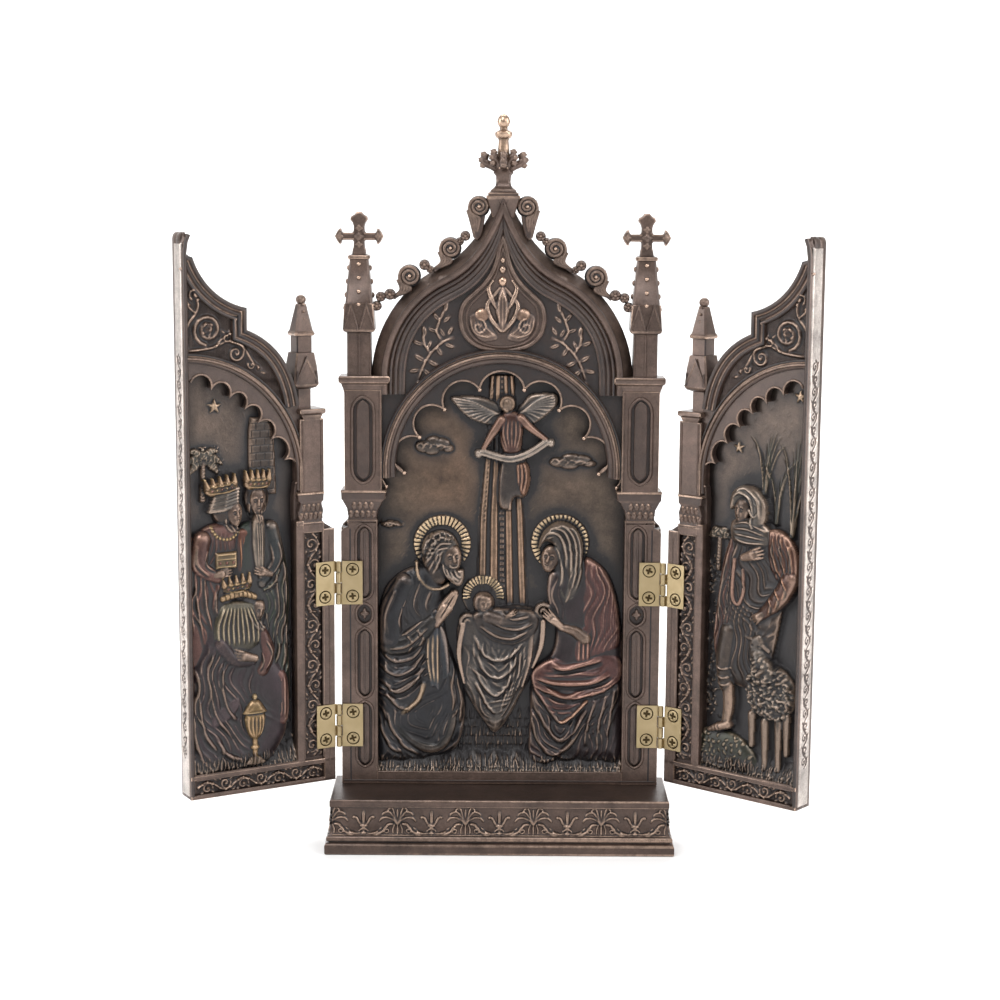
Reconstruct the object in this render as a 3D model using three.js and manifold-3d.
// A folding three-leaf altarpiece in cold-cast bronze: a plinth, a gabled centre casting with a
// nativity in relief, and two doors on brass butt hinges.
// Millimetres, +Z up, +X right, +Y away from the viewer. The origin is the middle of the
// plinth's underside, straight below the centre casting's front face.
import * as THREE from "three";
import { mergeVertices } from "three/addons/utils/BufferGeometryUtils.js";
import { ConvexGeometry } from "three/addons/geometries/ConvexGeometry.js";
import Module from "manifold-3d";

const wasm = await Module();
wasm.setup();

// ---------------------------------------------------------------- driving dimensions
const GAP = 0.15; // daylight between pieces that touch
const PLINTH_HEIGHT = 18.2;
const PLINTH_HALF_WIDTH = 57.2;
const PLINTH_FRONT = -20;
const PLINTH_BACK = 12;
const BASE_Z = PLINTH_HEIGHT + GAP; // foot of the centre casting

const PANEL_HALF_WIDTH = 52.7;
const PANEL_THICKNESS = 10;
const PICTURE_HALF_WIDTH = 40.7;
const RAIL_TOP = 4.1;
const SCENE_FLOOR = 6.5; // depth of the picture's ground behind the front face
const SPANDREL_FLOOR = 3.2;
const PROUD = 0.5; // the most that anything stands in front of the front faces
const EMBED = 0.6; // how far a raised form is sunk into what carries it

const STRIP_TOP = 86.8; // top of the plain strip that carries the hinges
const CAPITAL = { bottom: 89.1, abacus: 96.2, top: 99.4, inner: 37.9, outer: 52.9 };
const PILASTER = { inner: 41, outer: 50.5 };
const UPPER_SHAFT = { inner: 39.3, outer: 51.5 };
const CORNICE = { bottom: 131.8, top: 136.9, inner: 36.6, outer: 53.3 };
const LANCET = { inner: 41.9, outer: 48.2, depth: 1.2 };
const PANEL_PINNACLE_X = 46.6;
const PANEL_PINNACLE_DEPTH = 4.6;
const ARCH = { z: 106, radius: 39.6, width: 3.4 };
const GABLE_EDGE = 1.4; // share at which the gable's sloping back edge ends
const FINIAL_FOOT = 194.3;
const FINIAL_DEPTH = 4.8;

const DOOR_THICKNESS = 8.9;
const DOOR_WIDTH = 52.1;
const DOOR_BOTTOM = 1.6; // above the foot of the centre casting
const DOOR_FLOOR = 5;
const DOOR_PLATE = 2.2; // depth of the door's spandrel ground
const DOOR_EDGE = 0.8; // the pin's distance outside the edges of panel and door
const DOOR_UPPER_EDGE = 4.3;
const DOOR_OPENING = 14.4; // inner side of the door's picture
const DOOR_RAIL_TOP = 9.2;
const DOOR_RIM = 1.1;
const DOOR_ARCH = { z: 104.2, radius: 41.8, width: 3.2 };
const DOOR_PINNACLE_U = 10.1;
const DOOR_PINNACLE_DEPTH = 4.4;
const DOOR_CAP = { bottom: 122.7, top: 126.6 };

const PIN_X = PANEL_HALF_WIDTH + DOOR_EDGE;
const PIN_FORWARD = 1.1; // the pin stands this far in front of the front faces
const LEFT_OPEN = THREE.MathUtils.degToRad(30);
const RIGHT_OPEN = THREE.MathUtils.degToRad(40);

const HINGE_HEIGHT = 14.6;
const LOWER_HINGE_Z = 20.3; // hinge centres above the foot of the centre casting
const UPPER_HINGE_Z = 68.6;
const KNUCKLES = 4;
const LEAF_WIDTH = 7.9;
const LEAF_THICKNESS = 0.45;
const BARREL_RADIUS = 0.95;
const PIN_RADIUS = 0.45;
const SCREW_RADIUS = 1.95;
const SCREW_HEIGHT = 0.22;
const SCREW_GAP = 0.06;
const SCREW_SPREAD = 4.5; // a screw's distance above or below the hinge centre
const SCREW_OUT = 4.6; // and from the pin's line

// ---------------------------------------------------------------- materials
const bronze = new THREE.MeshStandardMaterial({ color: 0x5f4f47, roughness: 0.45, metalness: 0.55 });
const darkBronze = new THREE.MeshStandardMaterial({ color: 0x544842, roughness: 0.5, metalness: 0.5 });
const brass = new THREE.MeshStandardMaterial({ color: 0xd8c896, roughness: 0.3, metalness: 1 });

// ---------------------------------------------------------------- closed-mesh helpers
// A geometry as a solid that manifold-3d can join or cut.
function solid(geometry) {
  const bare = geometry.clone();
  bare.deleteAttribute("normal");
  bare.deleteAttribute("uv");
  const merged = mergeVertices(bare, 1e-4);
  return new wasm.Manifold(
    new wasm.Mesh({
      numProp: 3,
      vertProperties: new Float32Array(merged.attributes.position.array),
      triVerts: new Uint32Array(merged.index.array),
    }),
  );
}

function join(solids) {
  return solids.reduce((whole, next) => whole.add(next));
}

// A solid as a named mesh with flat shading.
function meshOf(name, body, material) {
  const flat = body.getMesh();
  const geometry = new THREE.BufferGeometry();
  geometry.setAttribute("position", new THREE.BufferAttribute(flat.vertProperties, flat.numProp));
  geometry.setIndex(new THREE.BufferAttribute(flat.triVerts, 1));
  const mesh = new THREE.Mesh(geometry, material);
  mesh.name = name;
  return mesh;
}

// A front-view outline (x, z) carried through the depth from front to back.
function slab(shape, front, back, segments = 6) {
  const options = { depth: back - front, bevelEnabled: false, curveSegments: segments };
  const geometry = new THREE.ExtrudeGeometry(shape, options);
  geometry.rotateX(Math.PI / 2);
  geometry.translate(0, back, 0);
  return solid(geometry);
}

function outline(points) {
  return new THREE.Shape(points.map(([x, z]) => new THREE.Vector2(x, z)));
}

function block(x0, x1, z0, z1, front, back) {
  const geometry = new THREE.BoxGeometry(x1 - x0, back - front, z1 - z0);
  geometry.translate((x0 + x1) / 2, (front + back) / 2, (z0 + z1) / 2);
  return solid(geometry);
}

// A closed skin over rings of equal length, each ring running anticlockwise seen from its top end.
function loft(rings) {
  const count = rings[0].length;
  const positions = rings.flat().flatMap((p) => [p.x, p.y, p.z]);
  const index = [];
  for (let level = 0; level + 1 < rings.length; level++) {
    for (let k = 0; k < count; k++) {
      const a = level * count + k;
      const b = level * count + ((k + 1) % count);
      index.push(a, b, b + count, a, b + count, a + count);
    }
  }
  const last = (rings.length - 1) * count;
  for (let k = 1; k + 1 < count; k++) {
    index.push(0, k + 1, k);
    index.push(last, last + k, last + k + 1);
  }
  const geometry = new THREE.BufferGeometry();
  geometry.setAttribute("position", new THREE.Float32BufferAttribute(positions, 3));
  geometry.setIndex(index);
  return solid(geometry);
}

// A rounded form: a low ball stretched to its three half-sizes.
function ball(x, y, z, halfX, halfY, halfZ, detail = 0) {
  const geometry = new THREE.IcosahedronGeometry(1, detail);
  geometry.scale(halfX, halfY, halfZ);
  geometry.translate(x, y, z);
  return solid(geometry);
}

// A limb or a fold: the hull of two four-sided discs with rounded ends.
function limb(from, to, fromRadius, toRadius) {
  const points = [];
  const axis = to.clone().sub(from).normalize();
  const side = new THREE.Vector3(0, 1, 0).cross(axis);
  side.normalize();
  const rise = axis.clone().cross(side);
  const sides = 4;
  for (const [end, radius, sign] of [[from, fromRadius, -1], [to, toRadius, 1]]) {
    points.push(end.clone().addScaledVector(axis, sign * radius * 0.8));
    for (let k = 0; k < sides; k++) {
      const angle = (2 * Math.PI * k) / sides;
      const ring = end.clone().addScaledVector(side, radius * Math.cos(angle));
      points.push(ring.addScaledVector(rise, radius * Math.sin(angle)));
    }
  }
  return solid(new ConvexGeometry(points));
}

const at = (x, y, z) => new THREE.Vector3(x, y, z);

// A turned form about an upright axis: [radius, height] pairs from the bottom up.
function turned(profile, x, y, z, sides = 10) {
  const points = profile.map(([radius, height]) => new THREE.Vector2(radius, height));
  const geometry = new THREE.LatheGeometry(points, sides);
  geometry.rotateX(Math.PI / 2);
  geometry.translate(x, y, z);
  return solid(geometry);
}

// Drapery over a kneeling or standing body, in relief: upright sections that widen and narrow
// from hem to shoulder, each with folds running down it.
// levels: [height, centre, half-width, relief] from the hem up.
function drapery(floor, levels, folds, foldDepth) {
  const steps = 5;
  const rings = levels.map(([z, centre, halfWidth, relief], level) => {
    const ring = [];
    const softness = foldDepth * (1 - (0.7 * level) / (levels.length - 1));
    for (let k = 0; k <= steps; k++) {
      const angle = (Math.PI * k) / steps;
      const ripple = 1 + softness * Math.cos(folds * angle);
      const out = (relief + EMBED) * Math.sin(angle) ** 0.7 * ripple;
      ring.push(at(centre - halfWidth * Math.cos(angle), floor + EMBED - out, z));
    }
    return ring;
  });
  return loft(rings);
}

// ---------------------------------------------------------------- gothic outlines
// One half of the ogee gable, foot to apex; the share runs from the inner edge (0) to the outer (1).
function ogeeHalf(share) {
  const mix = THREE.MathUtils.lerp;
  const foot = mix(31.7, 39.6, share);
  const low = new THREE.CubicBezierCurve(
    new THREE.Vector2(foot, 136),
    new THREE.Vector2(foot, mix(149, 151, share)),
    new THREE.Vector2(mix(26, 31, share), mix(157, 163.5, share)),
    new THREE.Vector2(mix(16, 19.6, share), mix(161.8, 168.9, share)),
  );
  const high = new THREE.CubicBezierCurve(
    new THREE.Vector2(mix(16, 19.6, share), mix(161.8, 168.9, share)),
    new THREE.Vector2(mix(7, 10.5, share), mix(166.2, 173.2, share)),
    new THREE.Vector2(mix(1.8, 4.5, share), mix(173, 181.5, share)),
    new THREE.Vector2(0, mix(188, 195.5, share)),
  );
  const footPoint = new THREE.Vector2(foot, 130.9);
  return [footPoint, ...low.getPoints(3), ...high.getPoints(4).slice(1)];
}

// The whole curve from the right foot over the apex to the left foot.
function ogeeCurve(share) {
  const right = ogeeHalf(share);
  const left = right.slice(0, -1).reverse();
  return [...right, ...left.map((p) => new THREE.Vector2(-p.x, p.y))];
}

function ogeeBand(innerShare, outerShare, front) {
  const shape = new THREE.Shape([...ogeeCurve(outerShare), ...ogeeCurve(innerShare).reverse()]);
  return slab(shape, front, SCENE_FLOOR + EMBED);
}

// A round-headed foil bulging from one cusp to the next.
function foil(from, to, bulge, steps = 3) {
  const middle = from.clone().lerp(to, 0.5);
  const out = new THREE.Vector2(to.y - from.y, from.x - to.x).normalize();
  const points = [];
  for (let k = 0; k < steps; k++) {
    const angle = Math.PI * (1 - k / steps);
    const along = to.clone().sub(from).multiplyScalar(0.5 * Math.cos(angle));
    const across = out.clone().multiplyScalar(bulge * Math.sin(angle));
    points.push(middle.clone().add(along).add(across));
  }
  return points;
}

// The centre's nine-foiled opening above its straight sides.
function picturePoints() {
  const cusps = [[38, 100.2], [32, 104.8], [27, 116.4], [18.2, 125.7], [7.2, 132.6]];
  const right = cusps.map(([x, z]) => new THREE.Vector2(x, z));
  const left = [...right].reverse().map((p) => new THREE.Vector2(-p.x, p.y));
  const all = [...right, ...left];
  const points = [new THREE.Vector2(PICTURE_HALF_WIDTH, RAIL_TOP)];
  points.push(new THREE.Vector2(PICTURE_HALF_WIDTH, 96));
  for (let k = 0; k + 1 < all.length; k++) points.push(...foil(all[k], all[k + 1], 6.4));
  points.push(all.at(-1));
  points.push(new THREE.Vector2(-PICTURE_HALF_WIDTH, 96));
  points.push(new THREE.Vector2(-PICTURE_HALF_WIDTH, RAIL_TOP));
  return points;
}

// A pointed-ended sunk panel.
function lancet(middle, bottom, top, halfWidth) {
  const point = Math.min(halfWidth * 1.3, 0.42 * (top - bottom));
  return outline([
    [middle - halfWidth, bottom + point],
    [middle, bottom],
    [middle + halfWidth, bottom + point],
    [middle + halfWidth, top - point],
    [middle, top],
    [middle - halfWidth, top - point],
  ]);
}

// ---------------------------------------------------------------- architecture shared by the leaves
// A capital: a leafy bell under a square abacus, from the outer edge to the inner one.
function capital(bottomInner, bottomOuter, topInner, topOuter, back) {
  const square = (inner, outer, front, z) => [
    at(inner, front, z),
    at(outer, front, z),
    at(outer, back, z),
    at(inner, back, z),
  ];
  const bell = loft([
    square(bottomInner, bottomOuter, 0.2, CAPITAL.bottom),
    square(bottomInner - 0.6, bottomOuter + 0.6, -0.1, 93),
    square(topInner + 0.8, topOuter - 0.4, -0.3, CAPITAL.abacus),
    square(topInner, topOuter, -PROUD, CAPITAL.abacus + 0.3),
    square(topInner, topOuter, -PROUD, CAPITAL.top),
  ]);
  return bell;
}

// A square pinnacle: shaft, four gablets and a tapering spire, from the bottom up.
function pinnacle(x, y, z, sizes) {
  const ring = (half, height) => [
    at(x - half, y - half, z + height),
    at(x + half, y - half, z + height),
    at(x + half, y + half, z + height),
    at(x - half, y + half, z + height),
  ];
  return loft(sizes.map(([half, height]) => ring(half, height)));
}

// A small gablet that caps one face of a pinnacle.
function gablet(x, z, halfWidth, height, front, back) {
  return slab(outline([[x - halfWidth, z], [x + halfWidth, z], [x, z + height]]), front, back);
}

// A crocket: a curled leaf on a stem that springs from the gable's edge.
function crocket(x, z, rootX, rootZ, radius) {
  const y = 2.4;
  const profile = [
    [0, -1.4],
    [radius, -0.6],
    [radius * 0.65, 1.6],
    [0, 0.9],
  ];
  const curl = turned(profile, 0, 0, 0, 6).rotate([90, 0, 0]);
  const stem = limb(at(rootX, y + 0.4, rootZ), at(x, y + 0.4, z), 1.3, radius * 0.5);
  return curl.translate([x, y, z]).add(stem);
}

// ---------------------------------------------------------------- the plinth
function plinthRing(inset, z) {
  const half = PLINTH_HALF_WIDTH - inset;
  return [
    at(-half, PLINTH_FRONT + inset, z),
    at(half, PLINTH_FRONT + inset, z),
    at(half, PLINTH_BACK - inset, z),
    at(-half, PLINTH_BACK - inset, z),
  ];
}

// A palmette: a fan of petals, thin enough to lie on the frieze.
function palmetteShape(x, z, radius) {
  const points = [];
  const steps = 8;
  for (let k = 0; k <= steps; k++) {
    const angle = (Math.PI * k) / steps;
    const reach = radius * (0.62 + 0.38 * Math.abs(Math.cos(2.5 * (angle - Math.PI / 2))));
    points.push([x + reach * Math.cos(angle), z + reach * Math.sin(angle)]);
  }
  return outline(points);
}

function lily(x, z, height) {
  const half = height * 0.28;
  return outline([
    [x - half * 0.4, z],
    [x + half * 0.4, z],
    [x + half * 0.5, z + height * 0.35],
    [x + half * 1.6, z + height * 0.75],
    [x + half * 0.5, z + height * 0.7],
    [x, z + height],
    [x - half * 0.5, z + height * 0.7],
    [x - half * 1.6, z + height * 0.75],
    [x - half * 0.5, z + height * 0.35],
  ]);
}

function makePlinth() {
  const profile = [
    [0.5, 0],
    [0, 0.7],
    [0, 3.3],
    [0.6, 4],
    [1.3, 4.2],
    [0.6, 4.8],
    [0.5, 5.8],
    [1.2, 6.4],
    [1.9, 7.8],
    [2.4, 10.5],
    [2.5, 15.7],
    [1.7, 15.9],
    [1.7, 17.9],
    [2, PLINTH_HEIGHT],
  ];
  const parts = [loft(profile.map(([inset, z]) => plinthRing(inset, z)))];
  const pitch = 22.2;
  const face = PLINTH_FRONT + 2.4;
  for (const step of [-1.5, -0.5, 0.5, 1.5]) {
    parts.push(slab(palmetteShape(step * pitch, 7, 6.6), face - 0.7, face + 1, 4));
  }
  for (let k = -2; k <= 2; k++) parts.push(slab(lily(k * pitch, 7, 8), face - 0.6, face + 1));
  for (const side of [-1, 1]) {
    const flank = slab(palmetteShape(-5, 7, 6.4), -0.6, 1, 4).rotate([0, 0, 90 * side]);
    parts.push(flank.translate([side * (PLINTH_HALF_WIDTH - 2.4), 0, 0]));
  }
  return join(parts);
}

// ---------------------------------------------------------------- the centre casting
// The flat back of the casting, out to its whole silhouette below the pinnacles.
function panelBack() {
  const rightSide = [
    [PANEL_HALF_WIDTH, 0],
    [PANEL_HALF_WIDTH, STRIP_TOP],
    [PILASTER.outer, CAPITAL.bottom],
    [UPPER_SHAFT.outer, CAPITAL.top],
    [UPPER_SHAFT.outer, CORNICE.top],
    [PANEL_PINNACLE_X - 3, CORNICE.top],
  ];
  const points = rightSide.map(([x, z]) => new THREE.Vector2(x, z));
  const right = [...points, ...ogeeHalf(GABLE_EDGE).slice(1)];
  const left = right.slice(0, -1).reverse().map((p) => new THREE.Vector2(-p.x, p.y));
  return slab(new THREE.Shape([...right, ...left]), SCENE_FLOOR, PANEL_THICKNESS);
}

// The pierced tracery plate: the gable's ground with the foiled opening cut through it.
function traceryPlate() {
  const shape = new THREE.Shape([
    new THREE.Vector2(PICTURE_HALF_WIDTH + 1, 90),
    new THREE.Vector2(PICTURE_HALF_WIDTH + 1, 132),
    ...ogeeCurve(0.5),
    new THREE.Vector2(-PICTURE_HALF_WIDTH - 1, 132),
    new THREE.Vector2(-PICTURE_HALF_WIDTH - 1, 90),
  ]);
  const opening = slab(new THREE.Shape(picturePoints()), 0, PANEL_THICKNESS);
  return slab(shape, SPANDREL_FLOOR, SCENE_FLOOR + EMBED).subtract(opening);
}

function archRing(x, z, radius, width, from, to, front, back, segments = 6) {
  const shape = new THREE.Shape();
  shape.absarc(x, z, radius, from, to, false);
  shape.absarc(x, z, radius - width, to, from, true);
  return slab(shape, front, back, segments);
}

// One pier of the centre: pilaster, capital, upper shaft and cornice, all on the right-hand side.
function pier() {
  const shaft = UPPER_SHAFT;
  const parts = [
    block(PICTURE_HALF_WIDTH, PANEL_HALF_WIDTH, 0, STRIP_TOP, 0, SCENE_FLOOR + EMBED),
    block(PILASTER.inner, PILASTER.outer, STRIP_TOP - 1, CAPITAL.bottom + 0.5, 0, SCENE_FLOOR + EMBED),
    capital(PILASTER.inner, PILASTER.outer, CAPITAL.inner, CAPITAL.outer, PANEL_THICKNESS - 0.5),
    block(shaft.inner, shaft.outer, CAPITAL.top - 0.5, CORNICE.bottom + 0.5, 0, SCENE_FLOOR + EMBED),
    block(CORNICE.inner + 1.6, CORNICE.outer - 1, CORNICE.bottom, CORNICE.top, -0.2, PANEL_THICKNESS),
    block(CORNICE.inner, CORNICE.outer, CORNICE.bottom + 2.2, CORNICE.top, -PROUD, PANEL_THICKNESS),
  ];
  const sunk = [
    [5.4, 28.7],
    [29.1, 53.6],
    [53.9, 62],
    [62.4, 88.1],
  ];
  const middle = (LANCET.inner + LANCET.outer) / 2;
  const halfWidth = (LANCET.outer - LANCET.inner) / 2;
  let whole = join(parts);
  for (const [bottom, top] of sunk) {
    whole = whole.subtract(slab(lancet(middle, bottom, top, halfWidth), -2, LANCET.depth));
  }
  const shaftMiddle = (shaft.inner + shaft.outer) / 2;
  return whole.subtract(slab(lancet(shaftMiddle, 101.2, 130.6, 4), -2, LANCET.depth));
}

// A side pinnacle of the centre, with its cross.
function crossPinnacle() {
  const x = PANEL_PINNACLE_X;
  const y = PANEL_PINNACLE_DEPTH;
  const sizes = [
    [3.9, -1],
    [3.9, 14.4],
    [5.2, 15.2],
    [4.6, 23.6],
    [3, 37.8],
    [3.6, 38.2],
    [3.6, 39.2],
    [2.2, 39.6],
    [2.2, 41.6],
  ];
  const parts = [pinnacle(x, y, CORNICE.top, sizes)];
  parts.push(gablet(x, CORNICE.top + 15, 5.2, 8.6, y - 5.1, y + 5.1));
  const quarter = [
    [2.3, 177.5],
    [1.7, 180.4],
    [5.4, 180.8],
    [6, 179.4],
    [8.1, 182],
    [6, 184.6],
    [5.4, 183.4],
    [1.8, 183.8],
    [1.8, 185.6],
    [2.9, 188],
  ];
  const mirrored = quarter.map(([dx, z]) => [-dx, z]).reverse();
  const cross = [...quarter, [0, 190], ...mirrored].map(([dx, z]) => [x + dx, z]);
  parts.push(slab(outline(cross), y - 2.2, y + 2.2));
  return join(parts);
}

// The finial over the gable: moulded foot, four-leaf knot, collar and knob.
function finial() {
  const profile = [
    [0, -6],
    [3.4, -6],
    [5.5, 0.6],
    [5.5, 2.6],
    [2.4, 4.4],
    [1.9, 16.6],
    [2.2, 19.4],
    [3, 20],
    [2.7, 21.8],
    [1.4, 22.4],
    [2.2, 24.6],
    [0, 27.1],
  ];
  const knotRing = (z, reach) => {
    const ring = [];
    for (let k = 0; k < 8; k++) {
      const angle = (Math.PI * k) / 4;
      const radius = k % 2 === 0 ? reach : reach * 0.62;
      ring.push(at(radius * Math.cos(angle), FINIAL_DEPTH + radius * 0.56 * Math.sin(angle), z));
    }
    return ring;
  };
  const knot = loft([knotRing(202.6, 3.4), knotRing(205, 7), knotRing(208, 7.8), knotRing(210.2, 4)]);
  return turned(profile, 0, FINIAL_DEPTH, FINIAL_FOOT, 6).add(knot);
}

// The ogee heart in the spandrel: a rim round a lily and two curling leaves.
function medallion() {
  const rimAt = (scale) => {
    const points = [];
    const steps = 10;
    for (let k = 0; k < steps; k++) {
      const angle = (2 * Math.PI * k) / steps - Math.PI / 2;
      const narrowing = 1 - 0.75 * Math.max(0, Math.sin(angle)) ** 1.5;
      const height = Math.sin(angle) > 0 ? 24 * Math.sin(angle) : 11 * Math.sin(angle);
      points.push(new THREE.Vector2(scale * 13.6 * Math.cos(angle) * narrowing, 157 + scale * height));
    }
    return points;
  };
  const rim = new THREE.Shape(rimAt(1));
  rim.holes.push(new THREE.Path(rimAt(0.86)));
  const parts = [slab(rim, 1.3, SPANDREL_FLOOR + EMBED)];
  parts.push(slab(lily(0, 151, 20), 1.5, SPANDREL_FLOOR + EMBED));
  for (const side of [-1, 1]) {
    parts.push(ball(side * 6.4, SPANDREL_FLOOR, 154, 3.6, 1.7, 2.6));
    parts.push(limb(at(side * 19, 3, 149), at(side * 27, 3, 140), 1.6, 0.8));
  }
  return join(parts);
}

// A ray-edged halo as a thin disc on the picture's ground.
function halo(floor, x, z, radius, front) {
  const geometry = new THREE.CylinderGeometry(radius, radius, floor + EMBED - front, 10);
  geometry.translate(x, (floor + EMBED + front) / 2, z);
  return solid(geometry);
}

// The bearded man kneeling on the left, hands joined.
function kneelingMan() {
  const f = SCENE_FLOOR;
  const robe = drapery(
    f,
    [
      [6.5, -24.5, 15.5, 4.2],
      [20, -24, 16.2, 5.6],
      [36, -24.5, 15.8, 5.8],
      [50, -25.5, 14.6, 5.8],
      [62, -25, 12.4, 5],
      [70, -22.5, 6.5, 3.4],
    ],
    7,
    0.16,
  );
  return [
    robe,
    halo(f, -19.6, 80.9, 9.4, 4.9),
    ball(-17.8, 3.6, 77.6, 5, 3.4, 6.2),
    ball(-15.6, 2.8, 74, 3, 2.4, 3.4),
    limb(at(-31, 3.4, 56), at(-20.5, 2.4, 55.5), 3.6, 2.4),
    limb(at(-20.5, 2.6, 54), at(-16.4, 2.2, 63.5), 1.7, 0.9),
    limb(at(-33, 2.6, 44), at(-17, 2.2, 48), 1.4, 1),
    limb(at(-20, 2, 48), at(-19, 2.4, 34), 1.4, 1.1),
  ];
}

// The veiled woman kneeling on the right.
function kneelingWoman() {
  const f = SCENE_FLOOR;
  const robe = drapery(
    f,
    [
      [6, 27.5, 12.5, 3.8],
      [16, 27.5, 14.5, 5],
      [32, 25.5, 15.6, 5.8],
      [48, 26.5, 13.8, 5.8],
      [62, 27, 12, 5.2],
      [71, 24.5, 7, 3.6],
    ],
    6,
    0.16,
  );
  return [
    robe,
    halo(f, 19.5, 82.2, 9.4, 4.9),
    ball(21, 3.4, 77.6, 6, 3.6, 7.4),
    limb(at(26, 3, 70), at(23.5, 2.6, 60), 2.6, 1.6),
    limb(at(29, 2.6, 55), at(18, 2.4, 56), 2, 1.1),
    limb(at(14, 2.4, 40), at(36, 2.2, 42), 1.6, 1.6),
    limb(at(15, 2.4, 34), at(26, 2.2, 24), 1.6, 1.2),
    limb(at(26, 2.2, 24), at(37, 2.4, 36), 1.2, 1.4),
  ];
}

// The child on the draped manger.
function childInManger() {
  const f = SCENE_FLOOR;
  const cloth = drapery(
    f,
    [
      [11, 2.6, 2.4, 3.2],
      [22, 2.6, 6.5, 4.2],
      [36, 2.4, 10.5, 5],
      [47, 2.6, 13, 5.4],
      [54, 2.6, 13.6, 4.6],
    ],
    8,
    0.2,
  );
  return [
    cloth,
    halo(f, -5.2, 63.8, 7, 5.1),
    ball(-5.2, 3.6, 61.8, 3.3, 3, 3.8),
    ball(1.4, 3.6, 55.4, 6.6, 3, 3.6),
    limb(at(4, 2.6, 53), at(9, 2.4, 47), 2, 1.2),
    limb(at(-10.5, 2.6, 53), at(-12, 2.8, 38), 1.3, 0.8),
    limb(at(17, 2.6, 56), at(13.5, 2.8, 38), 1.4, 0.8),
  ];
}

// The angel above, its wings spread and a ribbon between its hands, before a beam of light.
function angelAndBeam() {
  const f = SCENE_FLOOR;
  const body = drapery(
    f,
    [
      [92.5, 3.6, 2.2, 2.6],
      [101, 4, 4.6, 3.8],
      [111, 3.6, 3.2, 3.6],
      [120, 3.4, 4.4, 4],
      [124.4, 2.8, 2.2, 3],
    ],
    5,
    0.2,
  );
  const parts = [body, ball(1.8, 3.6, 126.8, 2.4, 2.6, 3.4)];
  for (const x of [-4.6, 0.4, 5.2]) parts.push(block(x - 1.2, x + 1.2, 58, 137, 5.6, f + EMBED));
  const leftWing = [[-1, 121], [0, 125], [-4, 128.5], [-9, 129.6], [-16, 129.5], [-14.6, 127], [-9.5, 122.6]];
  const rightWing = [[6, 121], [11, 122.6], [17.5, 127.5], [17, 130.5], [10, 130.2], [5.5, 126]];
  parts.push(slab(outline(leftWing.reverse()), 4.2, f + EMBED), slab(outline(rightWing), 4.2, f + EMBED));
  parts.push(limb(at(0, 3.4, 122), at(-6, 3.2, 112.6), 1.4, 0.9));
  parts.push(limb(at(6, 3.4, 122.4), at(14.2, 3.2, 116.2), 1.4, 0.9));
  parts.push(limb(at(-6, 3, 112.4), at(4, 2.6, 110.2), 0.9, 1));
  parts.push(limb(at(4, 2.6, 110.2), at(14.4, 3, 115.6), 1, 0.9));
  return parts;
}

// The sloping grass along the foot of a picture.
function grassBank(fromX, toX, floor, z, height) {
  const section = (x) => [
    at(x, floor + EMBED, z),
    at(x, floor + EMBED, z + height),
    at(x, floor - 1, z + height * 0.8),
    at(x, floor - 3.4, z),
  ];
  return loft([section(fromX), section(toX)]);
}

function makeCentre() {
  const f = SCENE_FLOOR;
  const parts = [
    panelBack(),
    block(-PICTURE_HALF_WIDTH - 1, PICTURE_HALF_WIDTH + 1, 0, RAIL_TOP, 0, f + EMBED),
    traceryPlate(),
    archRing(0, ARCH.z, ARCH.radius, ARCH.width, 0, Math.PI, 0.5, f + EMBED),
    ogeeBand(0.9, GABLE_EDGE, 2.6),
    ogeeBand(0.66, 1, 0),
    ogeeBand(0.1, 0.5, 1),
    medallion(),
    finial(),
  ];
  const crockets = [
    [7.8, 192, 3, 186, 3.8],
    [16.8, 178.4, 12.4, 173.4, 4],
    [30, 169.6, 26.6, 164.6, 4],
  ];
  for (const [x, z, rootX, rootZ, radius] of crockets) {
    for (const side of [-1, 1]) parts.push(crocket(side * x, z, side * rootX, rootZ, radius));
  }
  for (const [x, z] of [[10.6, 180.6], [23.4, 170.4], [34.8, 156.2]]) {
    for (const side of [-1, 1]) parts.push(ball(side * x, 3, z, 3.2, 2, 3.2));
  }
  const rightPier = pier();
  const rightCross = crossPinnacle();
  parts.push(rightPier, rightPier.mirror([1, 0, 0]), rightCross, rightCross.mirror([1, 0, 0]));
  parts.push(...kneelingMan(), ...kneelingWoman(), ...childInManger(), ...angelAndBeam());
  parts.push(ball(-22.5, f, 112.2, 6.4, 1.8, 4), ball(23.2, f, 108.2, 7, 1.8, 3.4));
  parts.push(grassBank(-PICTURE_HALF_WIDTH - 0.5, PICTURE_HALF_WIDTH + 0.5, f, RAIL_TOP - 1, 9));
  return join(parts).translate([0, 0, BASE_Z]);
}

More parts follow.
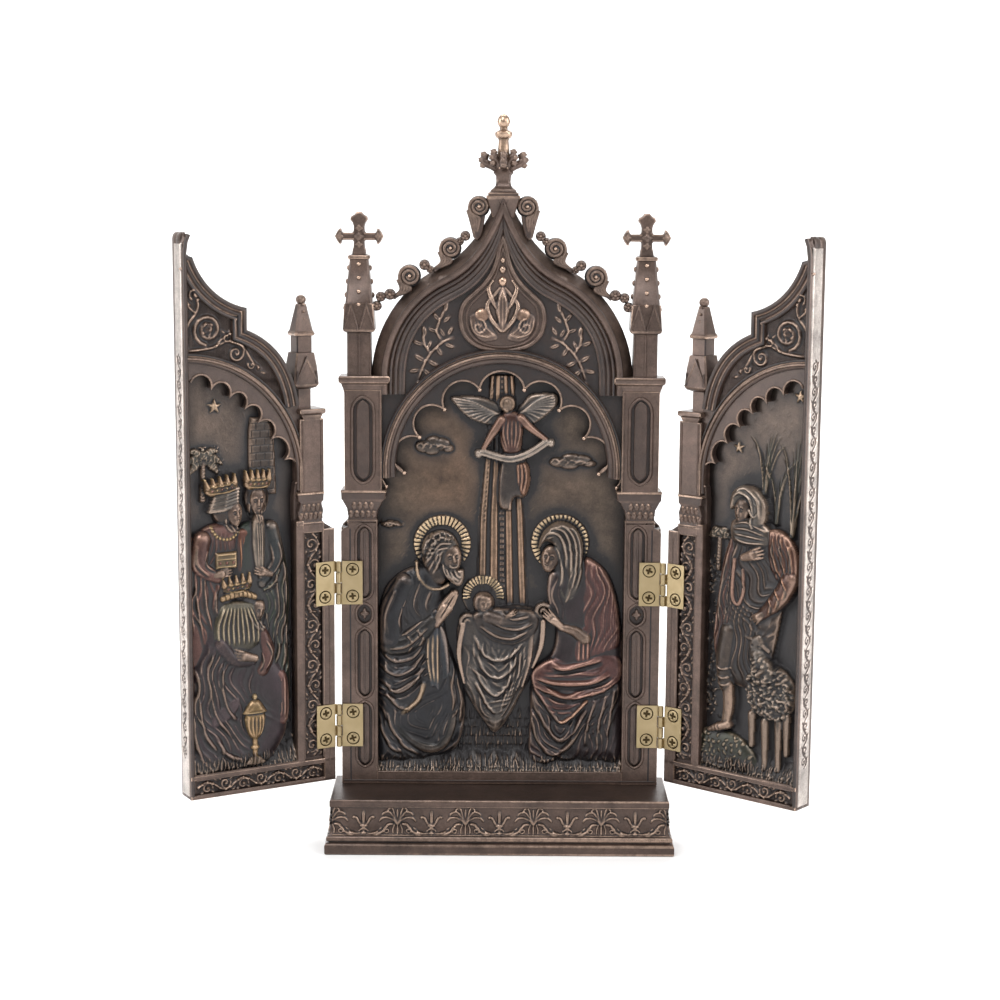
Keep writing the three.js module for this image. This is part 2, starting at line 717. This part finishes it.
// ---------------------------------------------------------------- the doors
// A door is drawn as the right-hand one: u runs outward from the pin's line, y back from the
// front face, and z up from the foot of the centre casting. The left one is its mirror image.
function doorOutline(inset) {
  const shape = new THREE.Shape();
  const outer = DOOR_WIDTH - inset;
  shape.moveTo(DOOR_EDGE + inset, DOOR_BOTTOM + inset);
  shape.lineTo(outer, DOOR_BOTTOM + inset);
  shape.lineTo(outer + 0.3, 181.4 - inset);
  shape.quadraticCurveTo(outer + 0.2, 183.6 - inset, outer - 1.6 + inset / 2, 183.7 - inset);
  shape.lineTo(50.4 + inset / 3, 177 - inset);
  shape.lineTo(48.9 + inset / 2, 176 - inset);
  shape.bezierCurveTo(46.4 + inset, 168.5 - inset, 40.5, 161.8 - inset, 30.8 + inset, 159.8 - inset);
  shape.lineTo(30.8 + inset, 152.8 - inset);
  shape.bezierCurveTo(22.5 + inset, 149.5 - inset, 15 + inset, 142.5 - inset, 12.6 + inset, 127 - inset);
  shape.lineTo(DOOR_UPPER_EDGE + inset, DOOR_CAP.bottom);
  shape.lineTo(DOOR_UPPER_EDGE + inset, CAPITAL.bottom);
  shape.lineTo(DOOR_EDGE + inset, STRIP_TOP - inset);
  return shape;
}

// The door's picture: half of the centre's foiled arch, cut off by the outer rim.
function doorPicturePoints() {
  const centre = new THREE.Vector2(DOOR_WIDTH, DOOR_ARCH.z);
  const cusp = (degrees, radius) => {
    const angle = THREE.MathUtils.degToRad(degrees);
    return new THREE.Vector2(centre.x + radius * Math.cos(angle), centre.y + radius * Math.sin(angle));
  };
  const rim = DOOR_WIDTH - DOOR_RIM;
  const cusps = [
    cusp(94.5, 32.6),
    cusp(107.5, 31.8),
    cusp(120, 31.6),
    cusp(131.8, 31.6),
    cusp(143.7, 31.8),
    cusp(156.3, 33),
    cusp(169.8, 35.5),
    cusp(183, 37.9),
  ];
  const points = [new THREE.Vector2(DOOR_OPENING, DOOR_RAIL_TOP), new THREE.Vector2(rim, DOOR_RAIL_TOP)];
  points.push(new THREE.Vector2(rim, DOOR_ARCH.z + 36), new THREE.Vector2(49.5, DOOR_ARCH.z + 35));
  for (let k = 0; k + 1 < cusps.length; k++) points.push(...foil(cusps[k], cusps[k + 1], 3.4, 2));
  points.push(cusps.at(-1), new THREE.Vector2(DOOR_OPENING, 98));
  return points;
}

// A running scroll: S-shaped stems laid end to end in a sunk border.
function scroll(from, to, turns, swing, depth) {
  const along = to.clone().sub(from);
  const across = new THREE.Vector3(along.z, 0, -along.x).normalize();
  const parts = [];
  for (let k = 0; k < turns; k++) {
    const start = from.clone().addScaledVector(along, k / turns);
    const end = from.clone().addScaledVector(along, (k + 1) / turns);
    const sign = k % 2 === 0 ? 1 : -1;
    start.addScaledVector(across, -sign * swing);
    end.addScaledVector(across, sign * swing);
    parts.push(limb(start.setY(depth), end.setY(depth), 0.9, 0.9));
  }
  return parts;
}

function makeDoor(picture) {
  const back = DOOR_THICKNESS;
  const plate = slab(doorOutline(0), DOOR_PLATE, back, 3);
  const edge = slab(doorOutline(0), 0, DOOR_PLATE + EMBED, 3).subtract(slab(doorOutline(1.1), -1, back, 3));
  const ground = slab(new THREE.Shape(doorPicturePoints()), -1, DOOR_FLOOR);
  const strip = block(DOOR_EDGE, DOOR_OPENING, DOOR_BOTTOM, STRIP_TOP, 0, DOOR_FLOOR + EMBED);
  const rail = block(DOOR_EDGE, DOOR_WIDTH, DOOR_BOTTOM, DOOR_RAIL_TOP, 0, DOOR_FLOOR + EMBED);
  const sunkStrip = block(5, 11.6, 10.5, 85.4, -1, 0.9);
  const sunkRail = block(5, DOOR_WIDTH - 2.4, 2.8, 8, -1, 0.9);
  const frame = strip.add(rail).subtract(sunkStrip).subtract(sunkRail);
  const ring = archRing(
    DOOR_WIDTH,
    DOOR_ARCH.z,
    DOOR_ARCH.radius,
    DOOR_ARCH.width,
    Math.PI / 2,
    Math.PI,
    0.4,
    DOOR_PLATE + EMBED,
    5,
  );
  const sizes = [
    [2.2, -1],
    [2.2, 6.5],
    [4.3, 7.4],
    [2.6, 18.3],
    [2.6, 24],
    [3.6, 24.4],
    [3.4, 25.6],
    [1.4, 34],
    [1.2, 36.6],
  ];
  const parts = [
    plate.subtract(ground),
    edge,
    frame,
    ring,
    capital(4.9, 13.4, 4.3, 13.8, DOOR_FLOOR + EMBED),
    block(DOOR_UPPER_EDGE, 12.8, CAPITAL.top - 0.5, DOOR_CAP.bottom + 0.5, 0, DOOR_FLOOR + EMBED),
    block(DOOR_UPPER_EDGE - 0.4, 13, DOOR_CAP.bottom, DOOR_CAP.top, -PROUD, back),
    pinnacle(DOOR_PINNACLE_U, DOOR_PINNACLE_DEPTH, DOOR_CAP.top, sizes),
    gablet(DOOR_PINNACLE_U, DOOR_CAP.top + 7.4, 4.3, 9, 0, 8.8),
    grassBank(DOOR_OPENING - 0.5, DOOR_WIDTH - 0.4, DOOR_FLOOR, DOOR_RAIL_TOP - 0.8, 7),
    ...scroll(at(8.3, 0, 12), at(8.3, 0, 84), 4, 1.9, 0.9),
    ...scroll(at(7, 0, 5.4), at(48, 0, 5.4), 3, 1.3, 0.9),
    ...picture(),
  ];
  const rosette = turned([[0, -1], [5, -0.6], [4, 0.8], [0, 0.2]], 0, 0, 0, 5).rotate([90, 0, 0]);
  for (const [u, z] of [[43, 154], [30, 147]]) parts.push(rosette.translate([u, DOOR_PLATE, z]));
  return join(parts).translate([0, PIN_FORWARD, BASE_Z]);
}

// Crown, head and beard of one of the kings.
function crownedHead(u, z, y) {
  const parts = [ball(u, y, z, 3.4, 2.8, 4.4)];
  const band = [[0, -1], [3, -1], [3.3, 2.4], [0, 2.6]];
  parts.push(turned(band, u, y, z + 3.8, 5));
  return parts;
}

// Three kings with their gifts, a palm and a tower behind them.
function kingsPicture() {
  const f = DOOR_FLOOR;
  const standing = drapery(
    f,
    [
      [38, 40, 10.6, 2.6],
      [52, 41, 9.8, 3.4],
      [68, 41, 9.4, 3.8],
      [82, 40, 9, 3.8],
      [89, 38, 5.4, 3],
    ],
    5,
    0.18,
  );
  const second = drapery(
    f,
    [
      [26, 20.6, 4.6, 2],
      [45, 21, 5.6, 2.8],
      [66, 23, 6.8, 3.2],
      [86, 24, 7.2, 3.4],
      [92, 25.4, 4, 2.6],
    ],
    5,
    0.18,
  );
  const kneeling = drapery(
    f,
    [
      [7, 33, 15.6, 3.4],
      [20, 33.6, 14.6, 4.4],
      [36, 36, 12.6, 5],
      [50, 37.4, 9.6, 5],
      [57, 36, 5.4, 3.6],
    ],
    6,
    0.18,
  );
  return [
    standing,
    second,
    kneeling,
    ...crownedHead(35.6, 94.2, 2.9),
    ...crownedHead(26.6, 97.6, 3.2),
    ...crownedHead(33.2, 62, 2.6),
    block(35, 41.4, 76.4, 81.6, 0.6, f),
    turned([[0, -4], [1.6, -4], [2, 0], [1, 2.4], [0, 4]], 26.4, 2.2, 88.4, 5),
    turned([[0, 0], [3, 0], [1.2, 3], [1, 9], [3.2, 12], [3.2, 17], [0, 21]], 29.8, 2.9, 11, 5),
    limb(at(44, 1.8, 82), at(38, 1.4, 74), 2.4, 1.6),
    limb(at(21, 2, 86), at(26, 1.8, 84), 2.2, 1.4),
    limb(at(42, 1.6, 50), at(33.4, 1.4, 46.6), 2.6, 1.4),
    block(21, 28, 104, 121, 3.2, f + EMBED),
    limb(at(45, 4.2, 96), at(45, 4.2, 112), 1.4, 1.2),
    ...palmCrown(45, 113, 4),
    ball(40.7, 4.4, 128.5, 2.4, 1.4, 2.4),
  ];
}

// Fronds fanned from the head of a palm.
function palmCrown(u, z, y) {
  const parts = [];
  for (let k = -1; k <= 1; k++) {
    const angle = THREE.MathUtils.degToRad(90 + 66 * k);
    const tip = at(u + 6 * Math.cos(angle), y + 0.4, z + 6 * Math.sin(angle));
    parts.push(limb(at(u, y, z), tip, 1.3, 0.6));
  }
  return parts;
}

// A shepherd with a sheep among palms.
function shepherdPicture() {
  const f = DOOR_FLOOR;
  const mantle = drapery(
    f,
    [
      [34, 25.4, 6.6, 2.4],
      [48, 26.4, 8.6, 3.4],
      [64, 29, 11, 4],
      [80, 31.4, 12.4, 4],
      [90, 30, 7, 3.2],
    ],
    5,
    0.18,
  );
  return [
    mantle,
    ball(29, 2.9, 96.6, 4.2, 3, 5.8),
    limb(at(25, 3, 36), at(24, 3, 23), 2.6, 1.7),
    ball(22.6, 3.2, 21.6, 3, 2, 1.8),
    limb(at(42, 2, 86), at(34, 1.6, 80.6), 3, 1.5),
    limb(at(41, 2, 78), at(37.8, 1.8, 62), 3, 1.5),
    ball(40, 3, 38, 8.6, 3.8, 8.4),
    ball(35.4, 2.4, 53.4, 3.4, 2.8, 4.6),
    limb(at(38, 3, 46), at(35.6, 2.8, 52), 3.6, 2.6),
    limb(at(35, 3.4, 32), at(35, 3.6, 13), 1.5, 1.2),
    limb(at(45, 3.4, 32), at(45, 3.6, 13), 1.5, 1.2),
    ball(22, f - 0.4, 15.5, 7, 3, 5.5),
    limb(at(45.5, 4.2, 84), at(44.5, 4.2, 108), 1.3, 1.1),
    ...palmCrown(44, 112, 4),
    ...palmCrown(18.6, 86, 4.4),
    ball(47, 4.6, 133, 1.8, 1.2, 1.8),
    ball(24.4, 4.6, 115.8, 1.8, 1.2, 1.8),
  ];
}

// ---------------------------------------------------------------- the hinges
// Hinges are drawn about the pin's line at the origin, leaf running out along +X.
const knuckleHeight = HINGE_HEIGHT / KNUCKLES;
const leafBack = PIN_FORWARD - GAP;
const leafFront = leafBack - LEAF_THICKNESS;

// Which knuckles a leaf carries, counted from the bottom: even ones or odd ones.
function hingeLeaf(odd) {
  const half = HINGE_HEIGHT / 2;
  let leaf = block(BARREL_RADIUS * 0.6, LEAF_WIDTH, -half, half, leafFront, leafBack);
  const relief = BARREL_RADIUS + GAP;
  for (let k = 0; k < KNUCKLES; k++) {
    const bottom = -half + k * knuckleHeight;
    if ((k % 2 === 1) === odd) {
      const inset = GAP / 2;
      const profile = [
        [0, inset],
        [BARREL_RADIUS, inset],
        [BARREL_RADIUS, knuckleHeight - inset],
        [0, knuckleHeight - inset],
      ];
      leaf = leaf.add(turned(profile, 0, 0, bottom, 6));
    } else {
      leaf = leaf.subtract(block(-relief, relief, bottom - 0.1, bottom + knuckleHeight + 0.1, -2, 2));
    }
  }
  const hole = PIN_RADIUS + GAP;
  const bore = turned([[0, -half - 1], [hole, -half - 1], [hole, half + 1], [0, half + 1]], 0, 0, 0, 6);
  return leaf.subtract(bore);
}

// The low head of a countersunk screw, on the front of a leaf.
function screwHead() {
  const profile = [
    [0, 0],
    [SCREW_RADIUS, 0],
    [SCREW_RADIUS * 0.8, SCREW_HEIGHT],
    [0, SCREW_HEIGHT],
  ];
  return turned(profile, 0, 0, 0, 6).rotate([90, 0, 0]).translate([0, leafFront - SCREW_GAP, 0]);
}

function hingePin() {
  const half = HINGE_HEIGHT / 2;
  return turned([[0, -half], [PIN_RADIUS, -half], [PIN_RADIUS, half], [0, half]], 0, 0, 0, 6);
}

// ---------------------------------------------------------------- assembly
const altarpiece = new THREE.Group();
altarpiece.add(meshOf("plinth", makePlinth(), darkBronze));
altarpiece.add(meshOf("centre_panel", makeCentre(), bronze));

const doors = { left: new THREE.Group(), right: new THREE.Group() };
doors.left.position.set(-PIN_X, -PIN_FORWARD, 0);
doors.left.rotation.z = LEFT_OPEN;
doors.left.add(meshOf("left_door", makeDoor(kingsPicture).mirror([1, 0, 0]), bronze));
doors.right.position.set(PIN_X, -PIN_FORWARD, 0);
doors.right.rotation.z = -RIGHT_OPEN;
doors.right.add(meshOf("right_door", makeDoor(shepherdPicture), bronze));
altarpiece.add(doors.left, doors.right);

for (const side of ["left", "right"]) {
  const mirrored = side === "left";
  const fixedLeaves = new THREE.Group();
  fixedLeaves.position.copy(doors[side].position);
  altarpiece.add(fixedLeaves);
  for (const [level, z] of [["lower", LOWER_HINGE_Z], ["upper", UPPER_HINGE_Z]]) {
    const place = (body, flipped) => {
      const turnedBody = flipped ? body.mirror([1, 0, 0]) : body;
      return turnedBody.translate([0, 0, BASE_Z + z]);
    };
    const name = `${side}_${level}_hinge`;
    fixedLeaves.add(meshOf(`${name}_fixed_leaf`, place(hingeLeaf(!mirrored), !mirrored), brass));
    fixedLeaves.add(meshOf(`${name}_pin`, place(hingePin(), false), brass));
    doors[side].add(meshOf(`${name}_door_leaf`, place(hingeLeaf(mirrored), mirrored), brass));
    for (const [end, sign] of [["bottom", -1], ["top", 1]]) {
      const screw = screwHead().translate([SCREW_OUT, 0, sign * SCREW_SPREAD]);
      fixedLeaves.add(meshOf(`${name}_fixed_${end}_screw`, place(screw, !mirrored), brass));
      doors[side].add(meshOf(`${name}_door_${end}_screw`, place(screw, mirrored), brass));
    }
  }
}

export default altarpiece;
